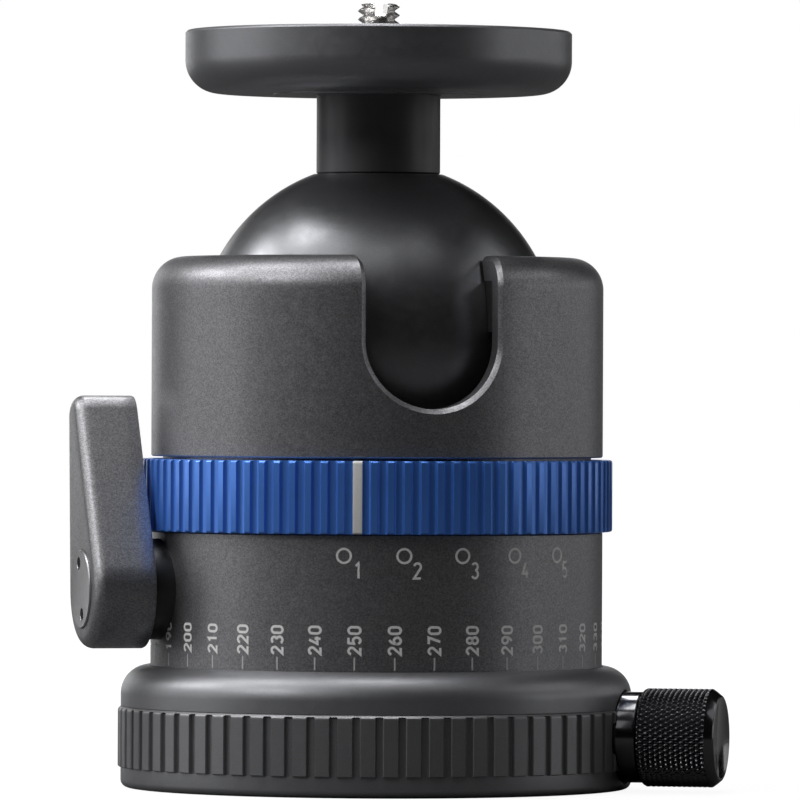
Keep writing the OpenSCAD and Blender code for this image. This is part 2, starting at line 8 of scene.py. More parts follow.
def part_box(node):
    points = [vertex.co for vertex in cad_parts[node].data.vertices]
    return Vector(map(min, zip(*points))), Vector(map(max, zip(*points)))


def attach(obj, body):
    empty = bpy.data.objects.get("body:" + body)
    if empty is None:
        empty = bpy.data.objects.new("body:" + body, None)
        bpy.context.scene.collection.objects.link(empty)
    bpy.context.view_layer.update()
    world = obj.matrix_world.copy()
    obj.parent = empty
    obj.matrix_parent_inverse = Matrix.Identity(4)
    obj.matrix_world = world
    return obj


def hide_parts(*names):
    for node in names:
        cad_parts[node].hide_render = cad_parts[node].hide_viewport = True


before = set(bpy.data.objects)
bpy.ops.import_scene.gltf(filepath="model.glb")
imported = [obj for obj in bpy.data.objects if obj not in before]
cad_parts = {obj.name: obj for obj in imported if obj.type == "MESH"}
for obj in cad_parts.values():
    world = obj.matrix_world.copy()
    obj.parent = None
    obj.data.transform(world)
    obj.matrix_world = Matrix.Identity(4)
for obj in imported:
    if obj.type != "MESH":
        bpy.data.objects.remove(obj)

scene = bpy.context.scene
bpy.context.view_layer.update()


def span(node):
    """A CAD node's lowest and highest corner in millimetres."""
    low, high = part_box(node)
    return low * 1000, high * 1000


# ---- Sizes that the pieces share, in millimetres ----

BASE = span("base_housing")
GRIP = span("base_grip_ring")
LOWER = span("lower_housing")
UPPER = span("upper_housing")
RING = span("friction_ring")
BALL = span("ball")
STEM = span("stem")
PLATE = span("camera_plate")
SCREW = span("camera_screw")
ARM = span("lever_arm")
BUSH = span("lever_bush")
CAP = span("lever_cap")

BASE_R = BASE[1].x
HOUSE_R = LOWER[1].x
BALL_R = BALL[1].x
STEM_R = STEM[1].x
FLAT_R = STEM_R + 0.45
FLAT_Z = BALL[1].z
BALL_Z = FLAT_Z - math.sqrt(BALL_R ** 2 - FLAT_R ** 2)
LEVER_Z = (BUSH[0].z + BUSH[1].z) / 2
LEVER_LEAN = 14.4
KNOB = span("pan_knob")
LOCK_Z = (KNOB[0].z + KNOB[1].z) / 2
LOCK_ANGLE = -28
KNOB_R = (KNOB[1].z - KNOB[0].z) / 2
KNOB_LEN = 11.7
COLLAR_R = 6.75
LOCK_SEAT = BASE_R - 0.65
COLLAR_END = LOCK_SEAT + 3.35
KNOB_START = COLLAR_END + 0.1
KNOB_END = KNOB_START + KNOB_LEN
BORE_R = HOUSE_R + 0.15
RING_ANGLE = 250.8
NOTCH_R = 10
NOTCH_Z = BALL_Z + 0.2
TOP_ROUND = 4.8


def rotation(degrees, axis):
    return Matrix.Rotation(math.radians(degrees), 4, axis)


LOCK = rotation(LOCK_ANGLE, "Z") @ Matrix.Translation((0, 0, LOCK_Z)) @ rotation(90, "Y")
SHAFT_TURN = math.radians(1.2)
SHAFT_LINE = Matrix.Rotation(SHAFT_TURN, 4, "Z") @ Matrix.Translation((0, 0, LEVER_Z))
SHAFT = SHAFT_LINE @ rotation(-90, "Y")
FAR_SHAFT = SHAFT_LINE @ rotation(90, "Y")
LEVER = SHAFT @ rotation(LEVER_LEAN, "Z")

# ---- Shapes: lists of points in millimetres and of faces ----

def arc(x, y, r, start, end, n=12, ry=None):
    """Points of an arc about (x, y), between two angles in degrees."""
    angles = [math.radians(start + (end - start) * i / n) for i in range(n + 1)]
    return [(x + r * math.cos(a), y + (ry or r) * math.sin(a)) for a in angles]


def line(start, end, n):
    """Points from start towards end, without end."""
    (x0, y0), (x1, y1) = start, end
    return [(x0 + (x1 - x0) * i / n, y0 + (y1 - y0) * i / n) for i in range(n)]


def loft(rings, closed=False):
    """Joins rings of equal length. Unless closed, which joins the last to the first, the ends are capped."""
    n = len(rings[0])
    verts = [p for ring in rings for p in ring]
    faces = []
    for k in range(len(rings) if closed else len(rings) - 1):
        a, b = k * n, (k + 1) % len(rings) * n
        faces += [(a + i, a + (i + 1) % n, b + (i + 1) % n, b + i) for i in range(n)]
    if not closed:
        faces += [tuple(range(n)), tuple(range(len(verts) - 1, len(verts) - 1 - n, -1))]
    return verts, faces


def revolve(profile, steps=240, radius=None):
    """Turns a closed half-plane outline about Z. steps is a number or a list of angles in degrees."""
    angles = [360 * k / steps for k in range(steps)] if isinstance(steps, int) else steps
    rings = []
    for angle in angles:
        c, s = math.cos(math.radians(angle)), math.sin(math.radians(angle))
        radii = [radius(r, z, angle) if radius else r for r, z in profile]
        rings.append([(q * c, q * s, z) for q, (r, z) in zip(radii, profile)])
    return loft(rings, closed=True)


def rod(r, start, end, steps=96):
    """A closed cylinder along Z."""
    return revolve([(0, start), (r, start), (r, end), (0, end)], steps)


def box(low, high):
    x, y, z = zip(low, high)
    return loft([[(x[0], y[0], h), (x[1], y[0], h), (x[1], y[1], h), (x[0], y[1], h)] for h in z])


def placed(shape, place):
    return [place @ Vector(p) for p in shape[0]], shape[1]


def joined(shapes):
    verts, faces = [], []
    for v, f in shapes:
        faces += [tuple(i + len(verts) for i in face) for face in f]
        verts += v
    return verts, faces


def grooved(shape, count, half, angle):
    """How deep count even grooves are at an angle. shape gives the depth over half degrees to either side."""
    pitch = 360 / count
    u = ((angle / pitch) % 1 - 0.5) * pitch / half
    for (u0, d0), (u1, d1) in zip(shape, shape[1:]):
        if u0 <= u <= u1:
            return d0 + (d1 - d0) * (u - u0) / (u1 - u0)
    return 0.0


def groove_angles(shape, count, half, extra=()):
    """The angles at which even grooves need points."""
    across = [u for u, depth in shape] + list(extra)
    return [360 / count * (k + 0.5) + u * half for k in range(count) for u in across]

# ---- Objects ----

def raw(name, shape):
    """A mesh object of a shape, in metres."""
    mesh = bpy.data.meshes.new(name)
    mesh.from_pydata([Vector(p) * 0.001 for p in shape[0]], [], shape[1])
    bm = bmesh.new()
    bm.from_mesh(mesh)
    bmesh.ops.remove_doubles(bm, verts=bm.verts, dist=1e-7)
    bmesh.ops.dissolve_degenerate(bm, edges=bm.edges, dist=1e-8)
    bmesh.ops.recalc_face_normals(bm, faces=bm.faces)
    bm.to_mesh(mesh)
    bm.free()
    obj = bpy.data.objects.new(name, mesh)
    scene.collection.objects.link(obj)
    return obj


def subtract(obj, shape):
    """Cuts a closed shape out of an object's mesh."""
    cutter = raw("cutter", shape)
    cut = obj.modifiers.new("cut", "BOOLEAN")
    cut.operation, cut.solver, cut.object = "DIFFERENCE", "EXACT", cutter
    mesh = bpy.data.meshes.new_from_object(obj.evaluated_get(bpy.context.evaluated_depsgraph_get()))
    obj.modifiers.clear()
    spare, obj.data = obj.data, mesh
    bpy.data.meshes.remove(spare)
    bpy.data.objects.remove(cutter)


def piece(name, shape, material, body, stands_for=(), cuts=(), sharp=28):
    """A finished piece: shape less its cuts, shaded, on its body, in place of its CAD nodes."""
    obj = raw(name, shape)
    for cut in cuts:
        subtract(obj, cut)
    obj.data.name = name
    obj.data.materials.clear()
    obj.data.materials.append(material)
    obj.data.shade_smooth()
    obj.data.set_sharp_from_angle(angle=math.radians(sharp))
    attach(obj, body)
    if stands_for:
        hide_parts(*stands_for)
    return obj


# ---- Materials ----

WAVE_SCALE = 314    # the wave node's scale for bands a millimetre apart, in a scene in metres


class Surface:
    """A node material that is built up in steps on one Principled shader."""

    def __init__(self, name, colour, roughness, metallic, **sockets):
        self.material = bpy.data.materials.new(name)
        self.material.use_nodes = True
        self.tree = self.material.node_tree
        self.shader = self.tree.nodes["Principled BSDF"]
        self.colour = colour
        self.shader.inputs["Base Color"].default_value = (*colour, 1)
        self.shader.inputs["Roughness"].default_value = roughness
        self.shader.inputs["Metallic"].default_value = metallic
        for key, value in sockets.items():
            self.shader.inputs[key.replace("_", " ")].default_value = value
        self.coords = self.node("ShaderNodeTexCoord").outputs["Object"]
        self.base = None
        self.height = None

    def node(self, kind, inputs=(), **settings):
        made = self.tree.nodes.new(kind)
        for key, value in settings.items():
            setattr(made, key, value)
        for key, value in dict(inputs).items():
            if isinstance(value, bpy.types.NodeSocket):
                self.tree.links.new(value, made.inputs[key])
            else:
                made.inputs[key].default_value = value
        return made

    def link(self, source, target):
        self.tree.links.new(source, target)

    def noise(self, scale, detail=2.0, stretch=None):
        """Noise from 0 to 1 in object space. stretch scales its axes."""
        vector = self.coords
        if stretch:
            vector = self.node("ShaderNodeMapping", {"Vector": vector, "Scale": stretch}).outputs["Vector"]
        inputs = {"Vector": vector, "Scale": scale, "Detail": detail}
        return self.node("ShaderNodeTexNoise", inputs).outputs["Fac"]

    def ramp(self, value, low, high, out_low=0.0, out_high=1.0):
        return self.node("ShaderNodeMapRange", {"Value": value, "From Min": low, "From Max": high,
                                                "To Min": out_low, "To Max": out_high}).outputs["Result"]

    def tint(self, factor, colour):
        """Lays a colour over the base colour by a factor."""
        mix = self.node("ShaderNodeMix", {"Factor": factor}, data_type="RGBA", blend_type="MIX")
        sides = {socket.name: socket for socket in mix.inputs if socket.type == "RGBA"}
        if self.base:
            self.link(self.base, sides["A"])
        else:
            sides["A"].default_value = (*self.colour, 1)
        sides["B"].default_value = (*colour, 1)
        self.base = [socket for socket in mix.outputs if socket.type == "RGBA"][0]
        self.link(self.base, self.shader.inputs["Base Color"])
        return self
    def mottle(self, scale, amount):
        """Slow variation of the colour, by plus or minus amount."""
        value = self.ramp(self.noise(scale, 3.0), 0.3, 0.7)
        return self.tint(value, [min(1.0, c * (1 + amount)) for c in self.colour])

    def sparkle(self, scale, gain):
        """Tiny grains, from the colour itself up to gain times it, as blasted metal has."""
        cells = self.node("ShaderNodeTexVoronoi", {"Vector": self.coords, "Scale": scale})
        red = self.node("ShaderNodeSeparateColor", {"Color": cells.outputs["Color"]}).outputs["Red"]
        return self.tint(self.ramp(red, 0.0, 1.0), [min(1.0, c * gain) for c in self.colour])
    def rough(self, value, low, high):
        self.link(self.ramp(value, 0.3, 0.7, low, high), self.shader.inputs["Roughness"])
        return self

    def bump(self, value, distance, strength=1.0):
        """Adds relief. distance is its height in millimetres."""
        inputs = {"Height": value, "Distance": distance * 0.001, "Strength": strength}
        if self.height:
            inputs["Normal"] = self.height
        self.height = self.node("ShaderNodeBump", inputs).outputs["Normal"]
        self.link(self.height, self.shader.inputs["Normal"])
        return self

    def turned(self, rings, period, distance, strength=0.6):
        """Tool marks a period in millimetres apart: rings about Z, or else bands along it."""
        bands = {"wave_type": "BANDS", "bands_direction": "Z"}
        shape = {"wave_type": "RINGS", "rings_direction": "Z"} if rings else bands
        inputs = {"Vector": self.coords, "Scale": WAVE_SCALE / period, "Distortion": 0.6, "Detail": 2.0,
                  "Detail Scale": 1.5}
        wave = self.node("ShaderNodeTexWave", inputs, **shape)
        return self.bump(wave.outputs["Fac"], distance, strength)


def blasted(name, colour, roughness, metallic, relief, gain):
    """Bead-blasted, anodised aluminium. relief is its grain's strength, and gain its brightest grains'."""
    s = Surface(name, colour, roughness, metallic, IOR=1.5)
    s.mottle(220, 0.08)
    s.sparkle(6500, gain)
    s.rough(s.noise(900, 3.0), roughness - 0.03, roughness + 0.04)
    s.bump(s.noise(5200), 0.012 * relief)
    return s.material


M_BASE = blasted("base_anodised", (0.232, 0.235, 0.247), 0.42, 0.75, 0.4, 1.12)
M_GRIP = blasted("grip_anodised", (0.217, 0.219, 0.227), 0.42, 0.75, 0.5, 1.15)
M_HOUSING = blasted("housing_anodised", (0.18, 0.18, 0.189), 0.42, 0.88, 1.0, 1.9)
M_LEVER = blasted("lever_anodised", (0.193, 0.193, 0.201), 0.42, 0.84, 1.2, 2.0)
M_BALL = blasted("ball_anodised", (0.194, 0.197, 0.207), 0.33, 0.85, 0.5, 1.15)
M_PLATE = blasted("plate_anodised", (0.232, 0.235, 0.247), 0.42, 0.85, 0.6, 1.12)


def stem_material():
    s = Surface("stem_anodised", (0.1, 0.1, 0.106), 0.48, 0.55, IOR=1.5)
    s.mottle(260, 0.10)
    s.rough(s.noise(900, 2.0, (1, 1, 0.2)), 0.45, 0.53)
    s.bump(s.noise(5200), 0.006)
    return s.turned(False, 5, 0.003, 0.4).material


def blue_material():
    s = Surface("blue_anodised", (0.09, 0.275, 0.88), 0.32, 0.5, Coat_Weight=0.25, Coat_Roughness=0.2)
    s.mottle(120, 0.05)
    return s.rough(s.noise(1500, 2.0), 0.28, 0.34).material


def gloss_material():
    s = Surface("gloss_black_anodised", (0.085, 0.086, 0.092), 0.17, 0.92, Coat_Weight=0.6,
                Coat_Roughness=0.06)
    s.mottle(400, 0.15)
    return s.rough(s.noise(1200, 2.0), 0.14, 0.2).material


def paint_material(name, colour):
    s = Surface(name, colour, 0.5, 0.0)
    s.tint(s.ramp(s.noise(2600, 3.0), 0.55, 0.8, 0.0, 0.3), [c * 0.7 for c in colour])
    s.rough(s.noise(1800), 0.42, 0.6)
    return s.bump(s.noise(3000), 0.008).material


def metal_material(name, colour, roughness):
    s = Surface(name, colour, roughness, 1.0)
    s.mottle(350, 0.12)
    s.rough(s.noise(800, 3.0), roughness - 0.05, roughness + 0.07)
    return s.turned(True, 6, 0.004).material


def polymer_material(name, colour, roughness):
    s = Surface(name, colour, roughness, 0.0)
    s.mottle(260, 0.15)
    s.rough(s.noise(1100, 2.0), roughness - 0.05, roughness + 0.06)
    return s.bump(s.noise(3600), 0.006).material


def rubber_material():
    s = Surface("ribbed_rubber", (0.022, 0.022, 0.023), 0.72, 0.0, Sheen_Weight=0.15)
    s.mottle(200, 0.25)
    s.rough(s.noise(900, 3.0), 0.66, 0.8)
    return s.bump(s.noise(3000, 3.0), 0.02).material


def cap_material():
    s = Surface("cap_satin", (0.365, 0.365, 0.378), 0.36, 0.9)
    s.mottle(300, 0.1)
    s.rough(s.noise(900), 0.32, 0.4)
    return s.bump(s.noise(5000), 0.004).material


M_STEM = stem_material()
M_BLUE = blue_material()
M_GLOSS = gloss_material()
M_WHITE = paint_material("white_fill", (0.96, 0.96, 0.95))
M_TICK = paint_material("tick_fill", (0.62, 0.62, 0.62))
M_STEEL = metal_material("turned_steel", (0.62, 0.61, 0.6), 0.26)
M_DARK_STEEL = metal_material("oiled_steel", (0.12, 0.12, 0.125), 0.4)
M_BRONZE = metal_material("bearing_bronze", (0.6, 0.4, 0.19), 0.34)
M_LINER = polymer_material("bearing_polymer", (0.66, 0.64, 0.57), 0.45)
M_BUSH = polymer_material("bush_polymer", (0.024, 0.024, 0.025), 0.36)
M_RUBBER = rubber_material()
M_CAP = cap_material()


# ---- Base ----

POCKET_R = COLLAR_R + 0.3
COLLAR_HOLE = 5.0
OUTSIDE = 46
lock_pocket = placed(revolve(
    [(0, 30), (COLLAR_HOLE, 30), (COLLAR_HOLE, LOCK_SEAT), (POCKET_R, LOCK_SEAT), (POCKET_R, OUTSIDE),
     (0, OUTSIDE)],
    96), LOCK)

GRIP_LOW, GRIP_HIGH, GRIP_R = GRIP[0].z, GRIP[1].z, GRIP[1].x
SEAT_R = GRIP_R - 2
BASE_TOP = BASE[1].z
SHOULDER = 4.25
FOOT_ROUND = 1.1
THREAD_R = 7
RECESS_R = 12
piece("base_shell", revolve(
    [(THREAD_R, 0)] + arc(BASE_R - FOOT_ROUND, FOOT_ROUND, FOOT_ROUND, -90, 0, 6)
    + [(BASE_R, GRIP_LOW), (SEAT_R, GRIP_LOW), (SEAT_R, GRIP_HIGH), (BASE_R - 0.1, GRIP_HIGH),
       (BASE_R, GRIP_HIGH + 0.1)]
    + arc(BORE_R, BASE_TOP - SHOULDER, SHOULDER, 0, 86, 20)
    + [(BORE_R + 0.1, BASE_TOP), (BORE_R, BASE_TOP - 0.15), (BORE_R, 3), (RECESS_R, 3), (RECESS_R, 12),
       (THREAD_R, 12)],
    300), M_BASE, "base", ["base_housing"], [lock_pocket])

GRIP_COUNT = 72
GRIP_HALF = math.degrees(0.56 / GRIP_R)
GRIP_SHAPE = [(-1.22, 0.0), (-1.0, 0.14), (-0.9, 0.46), (-0.66, 0.6), (0.0, 0.62), (0.66, 0.6),
              (0.9, 0.46), (1.0, 0.14),
              (1.22, 0.0)]
GROOVE_END, GROOVE_RUNOUT = GRIP_HIGH - 0.26, 0.16
GRIP_EDGE = [(0, 0.75), (0, 0.5), (0.03, 0.42), (0.08, 0.36), (0.18, 0.26), (0.4, 0.04), (0.48, 0)]


def grip_radius(r, z, angle):
    """The grip ring's radius. Its grooves run out just under its bright upper edge."""
    end = min(1.0, max(0.0, (GROOVE_END - z) / GROOVE_RUNOUT))
    return min(r, GRIP_R - grooved(GRIP_SHAPE, GRIP_COUNT, GRIP_HALF, angle) * end ** 0.5)


piece("grip_ring", placed(revolve(
    [(SEAT_R + 0.02, GRIP_LOW), (GRIP_R - 0.12, GRIP_LOW), (GRIP_R, GRIP_LOW + 0.12)]
    + line((GRIP_R, GRIP_LOW + 1), (GRIP_R, GRIP_HIGH - 0.75), 3)
    + [(GRIP_R - inwards, GRIP_HIGH - down) for inwards, down in GRIP_EDGE] + [(SEAT_R + 0.02, GRIP_HIGH)],
    sorted(groove_angles(GRIP_SHAPE, GRIP_COUNT, GRIP_HALF, (-1.7, 1.7))), grip_radius),
    rotation(-1.35, "Z")),
    M_GRIP, "base", ["base_grip_ring"], [lock_pocket], sharp=24)
piece("lock_collar", placed(revolve(
    [(3.05, BORE_R + 0.6), (4.95, BORE_R + 0.6), (4.95, LOCK_SEAT), (COLLAR_R - 0.1, LOCK_SEAT),
     (COLLAR_R, LOCK_SEAT + 0.1)]
    + arc(COLLAR_R - 0.3, COLLAR_END - 0.3, 0.3, 0, 90, 5) + [(3.05, COLLAR_END)], 192), LOCK),
    M_GLOSS, "base", ["pan_lock_bush"])

# ---- Pan lock knob ----

KNURLS, KNURL_PITCH, KNURL_DEPTH = 54, 1.55, 0.5
KNURL_END = KNOB_END - 1.35


def knurl_radius(r, z, angle):
    if r < KNOB_R - 1.3 or z > KNURL_END:
        return r
    u, v = angle / 360 * KNURLS, (z - KNOB_START) / KNURL_PITCH
    bump = abs(math.sin(math.pi * (u + v)) * math.sin(math.pi * (u - v))) ** 0.75
    return min(r, KNOB_R - KNURL_DEPTH * (1 - bump))


knob_rows = [KNOB_START + KNURL_PITCH * k / 10 for k in range(1, 76)]


def knob_profile(z):
    """The knob's outline: rounded at the collar, and bevelled at its end."""
    near = KNOB_R - 0.55 * max(0.0, 1 - (z - KNOB_START) / 0.8) ** 2
    far = KNOB_R - 0.03 - 1.02 * max(0.0, (z - KNURL_END) / (KNOB_END - KNURL_END)) ** 1.15
    return min(near, far)


piece("lock_knob", placed(revolve(
    [(3.0, KNOB_START), (KNOB_R - 0.75, KNOB_START)] + [(knob_profile(z), z) for z in knob_rows]
    + [(KNOB_R - 1.12, KNOB_END), (KNOB_R - 1.45, KNOB_END), (KNOB_R - 1.7, KNOB_END - 0.12),
       (0, KNOB_END - 0.35),
       (0, KNOB_START + 6), (3.0, KNOB_START + 6)], KNURLS * 8, knurl_radius), LOCK),
    M_GLOSS, "pan_lock_knob", ["pan_knob"], sharp=40)

# ---- Housing ----

CORE_R = HOUSE_R - 9.25
SKIRT_R = HOUSE_R - 1.75
SKIRT_IR = SKIRT_R - 2.9
SKIRT_Z = UPPER[0].z
LOWER_TOP = LOWER[1].z
TURN_Z = LOWER[0].z
BUSH_SEAT = HOUSE_R - 1.25
BUSH_BORE, BUSH_POCKET = 6.0, 7.53
bush_bore = placed(revolve(
    [(0, 20), (BUSH_BORE, 20), (BUSH_BORE, BUSH_SEAT), (BUSH_POCKET, BUSH_SEAT), (BUSH_POCKET, OUTSIDE),
     (0, OUTSIDE)],
    120), SHAFT)
far_bore = placed(rod(5.0, 20, CORE_R + 5.5), FAR_SHAFT)

HUB_R = 12.1
LOCK_GROOVE = [(0, -2.2), (2, -0.2), (2, 0.2), (0, 2.2)]
piece("turntable_housing", revolve(
    [(HUB_R, TURN_Z), (HOUSE_R - 0.3, TURN_Z), (HOUSE_R, TURN_Z + 0.3)]
    + [(HOUSE_R - inwards, LOCK_Z + up) for inwards, up in LOCK_GROOVE]
    + line((HOUSE_R, 14), (HOUSE_R, LOWER_TOP - 0.2), 8)
    + [(HOUSE_R, LOWER_TOP - 0.2), (HOUSE_R - 0.2, LOWER_TOP), (SKIRT_R, LOWER_TOP), (SKIRT_R, SKIRT_Z),
       (CORE_R, SKIRT_Z),
       (CORE_R, BASE_TOP + 1.75), (17, BASE_TOP + 1.75), (17, 11.85), (HUB_R, 11.85)], 300),
    M_HOUSING, "housing", ["lower_housing"], [bush_bore, far_bore])
HOUSE_TOP = UPPER[1].z
UPPER_Z = RING[1].z + 0.35
LIP_R = math.sqrt(BALL_R ** 2 - (HOUSE_TOP - BALL_Z) ** 2) + 0.68
SHOULDER_Z = HOUSE_TOP - 3.7
SHOULDER_R = math.sqrt(BALL_R ** 2 - (SHOULDER_Z - BALL_Z) ** 2) + 0.48
NUT_TOP = RING[1].z - 0.15


def notch():
    """A cutter for the drop notch, from near the ball's centre out through the -Y wall."""
    outline = arc(0, NOTCH_Z, NOTCH_R, -180, 0, 72) + [(NOTCH_R, HOUSE_TOP + 3), (-NOTCH_R, HOUSE_TOP + 3)]
    return loft([[(x, -near, z) for x, z in outline] for near in (5, 60)])


def notch_edge(width):
    """A swept cutter that eases the notch's outer edge, over the housing's rounded top to its lip."""
    centre_r, centre_z = HOUSE_R - TOP_ROUND, HOUSE_TOP - TOP_ROUND
    top = [(r, HOUSE_TOP, 0, 1) for r, z in line((LIP_R - 1.5, 0), (centre_r, 0), 6)]
    top += [(r, z, (r - centre_r) / TOP_ROUND, (z - centre_z) / TOP_ROUND)
            for r, z in arc(centre_r, centre_z, TOP_ROUND, 90, 0, 24)]
    top += [(HOUSE_R, z, 1, 0) for x, z in line((0, centre_z), (0, NOTCH_Z), 12)][1:]

    def at(x, r, z):
        return Vector((x, -math.sqrt(r * r - x * x), z))

    def section(x_in, z_in, x_out, z_out, r, nr, nz):
        """x_in, z_in is on the notch's outline, and x_out, z_out is a width outside it."""
        on_face = at(x_out, r, z_out)
        in_notch = at(x_in, r - nr * width, z_in - nz * width)
        corner = at(x_in, r, z_in)
        middle = ((on_face + in_notch) / 2).lerp(corner, 0.06)
        air = at(x_in * 0.88, r + nr * 1.5, z_in + nz * 1.5)
        return [on_face + (on_face - middle) * 0.8, on_face, middle, in_notch,
                in_notch + (in_notch - middle) * 0.8, air]

    rings = [section(-NOTCH_R, z, -NOTCH_R - width, z, r, nr, nz) for r, z, nr, nz in top]
    for x, z in arc(0, 0, 1, -180, 0, 72):
        z_in = NOTCH_Z + NOTCH_R * z
        z_out = NOTCH_Z + (NOTCH_R + width) * z
        rings.append(section(NOTCH_R * x, z_in, (NOTCH_R + width) * x, z_out, HOUSE_R, 1, 0))
    rings += [section(NOTCH_R, z, NOTCH_R + width, z, r, nr, nz) for r, z, nr, nz in reversed(top)]
    return loft(rings)


def sector(inner, outer, low, high, start, end, n=24):
    """A slot cutter between two polar angles."""
    corners = ((inner, low), (outer, low), (outer, high), (inner, high))
    angles = [math.radians(start + (end - start) * k / n) for k in range(n + 1)]
    return loft([[(r * math.cos(a), r * math.sin(a), z) for r, z in corners] for a in angles])


KEY_Z = (RING[0].z + 3.15 + NUT_TOP) / 2
KEY_HALF = math.degrees(math.asin(1.6 / SKIRT_IR)) + 0.4
RING_MIN, RING_MAX = -3.5, 56.5
key_slots = [sector(SKIRT_IR - 1, SKIRT_R + 1, KEY_Z - 1.7, KEY_Z + 1.7,
                    RING_ANGLE + 120 * k + RING_MIN - KEY_HALF, RING_ANGLE + 120 * k + RING_MAX + KEY_HALF)
             for k in range(3)]
SEAT_RING_R = 30
NUT_SEAT = SKIRT_IR - 1.5
piece("notched_housing", revolve(
    [(SKIRT_IR, SKIRT_Z), (SKIRT_R, SKIRT_Z), (SKIRT_R, UPPER_Z), (HOUSE_R - 0.2, UPPER_Z),
     (HOUSE_R, UPPER_Z + 0.2)]
    + line((HOUSE_R, UPPER_Z + 1), (HOUSE_R, HOUSE_TOP - TOP_ROUND), 14)
    + arc(HOUSE_R - TOP_ROUND, HOUSE_TOP - TOP_ROUND, TOP_ROUND, 0, 90, 20)
    + [(LIP_R + 0.25, HOUSE_TOP), (LIP_R, HOUSE_TOP - 0.25), (SHOULDER_R, SHOULDER_Z),
       (SEAT_RING_R, SHOULDER_Z),
       (SEAT_RING_R, NUT_TOP + 2.1), (NUT_SEAT, NUT_TOP + 2.1), (NUT_SEAT, NUT_TOP + 0.2),
       (SKIRT_IR, NUT_TOP + 0.2)], 300),
    M_HOUSING, "housing", ["upper_housing"],
    [notch(), notch_edge(0.72), bush_bore, far_bore] + key_slots)

# ---- Friction ring ----

RING_R, RING_LOW, RING_TOP = max(RING[1].x, RING[1].y), RING[0].z, RING[1].z
FLUTES = 90
FLUTE_SHAPE = [(-1.08, 0.0), (-0.98, 0.1), (-0.86, 0.3), (-0.6, 0.44), (0.0, 0.5), (0.6, 0.44),
               (0.86, 0.3), (0.98, 0.1),
               (1.08, 0.0)]
FLUTE_HALF = 360 / FLUTES * 0.58 / 2
STRIP_HALF = math.degrees(0.69 / RING_R)
STRIP_DEPTH = 0.95


def ring_radius(r, z, angle):
    """The ring's radius: flutes, and the slot of the index strip."""
    in_slot = angle < STRIP_HALF or angle > 360 - STRIP_HALF
    return min(r, RING_R - (STRIP_DEPTH if in_slot else grooved(FLUTE_SHAPE, FLUTES, FLUTE_HALF, angle)))


def ring_outline(r, low, high, round_r=0.42, n=6):
    low_edge = arc(r - round_r, low + 0.3, round_r, -90, 0, n, 0.3)
    return low_edge + arc(r - round_r, high - round_r, round_r, 0, 90, n)


ring_angles = groove_angles(FLUTE_SHAPE, FLUTES, FLUTE_HALF) + [360 / FLUTES * k for k in range(FLUTES)]
ring_angles += [turn + side for turn in (360 - STRIP_HALF, STRIP_HALF) for side in (-0.01, 0.01)]
RING_TURN = rotation(RING_ANGLE, "Z")
RING_IR = SKIRT_R + 0.05
piece("fluted_ring", placed(revolve(
    [(RING_IR, RING_LOW)] + ring_outline(RING_R, RING_LOW, RING_TOP) + [(RING_IR, RING_TOP)],
    sorted(ring_angles), ring_radius), RING_TURN),
    M_BLUE, "friction_control", ["friction_ring"], sharp=24)

STRIP_IR, STRIP_LOW, STRIP_TOP = RING_R - 0.98, RING_LOW + 0.02, RING_TOP - 0.01
strip_outline = ring_outline(RING_R - 0.03, STRIP_LOW, STRIP_TOP)
strip_outline = [(STRIP_IR, STRIP_LOW)] + strip_outline + [(STRIP_IR, STRIP_TOP)]
strip_rings = []
for k in range(-3, 4):
    eased = 0.05 if abs(k) == 3 else 0
    a = math.radians(k / 3 * STRIP_HALF)
    radii = [(r - eased if r > RING_R - 0.6 else r, z) for r, z in strip_outline]
    strip_rings.append([(r * math.cos(a), r * math.sin(a), z) for r, z in radii])
piece("ring_index_strip", placed(loft(strip_rings), RING_TURN),
      M_WHITE, "friction_control", ["index_strip"], sharp=50)

# ---- Clamp lever ----

BOSS_R, TIP_R, REACH = 8.8, 3.4, 26.1
CAP_R = (CAP[1].z - CAP[0].z) / 2
BUSH_R = 7.5


def on_shaft(x, r):
    """How far along the turned shaft a round piece reaches, from its box and its radius."""
    return (-x - r * math.sin(SHAFT_TURN)) / math.cos(SHAFT_TURN)


CAP_TOP = on_shaft(CAP[0].x, CAP_R)
END = CAP_TOP - 0.3
FACE = on_shaft(ARM[1].x, -BOSS_R)
CAP_SEAT = END - 2.5
BUSH_END = on_shaft(BUSH[0].x, BUSH_R)
ROUND = 1.8


def lever_outline(inset, z):
    """The hull of the boss and the tip, as a ring of points."""
    tangent = math.degrees(math.acos((BOSS_R - TIP_R) / REACH))
    points = arc(0, 0, BOSS_R - inset, tangent, 360 - tangent, 72)
    points += arc(REACH, 0, TIP_R - inset, -tangent, tangent, 40)
    return [(x, y, z) for x, y in points]


bevel = [(ROUND * (1 - math.cos(math.radians(a))), END - ROUND + ROUND * math.sin(math.radians(a)))
         for a in range(0, 91, 9)]
lever_steps = [(0.3, FACE), (0.1, FACE + 0.08), (0.0, FACE + 0.3), (0.0, FACE + 2.5), (0.0, FACE + 5)] + bevel
cap_recess = revolve(
    [(0, FACE - 1), (4.0, FACE - 1), (4.0, CAP_SEAT), (CAP_R + 0.02, CAP_SEAT), (CAP_R + 0.02, END - 0.12),
     (CAP_R + 0.16, END + 1), (0, END + 1)], 120)
piece("clamp_lever_arm", placed(loft([lever_outline(inset, z) for inset, z in lever_steps]), LEVER),
      M_LEVER, "clamp_lever", ["lever_arm"], [placed(cap_recess, LEVER)], sharp=30)

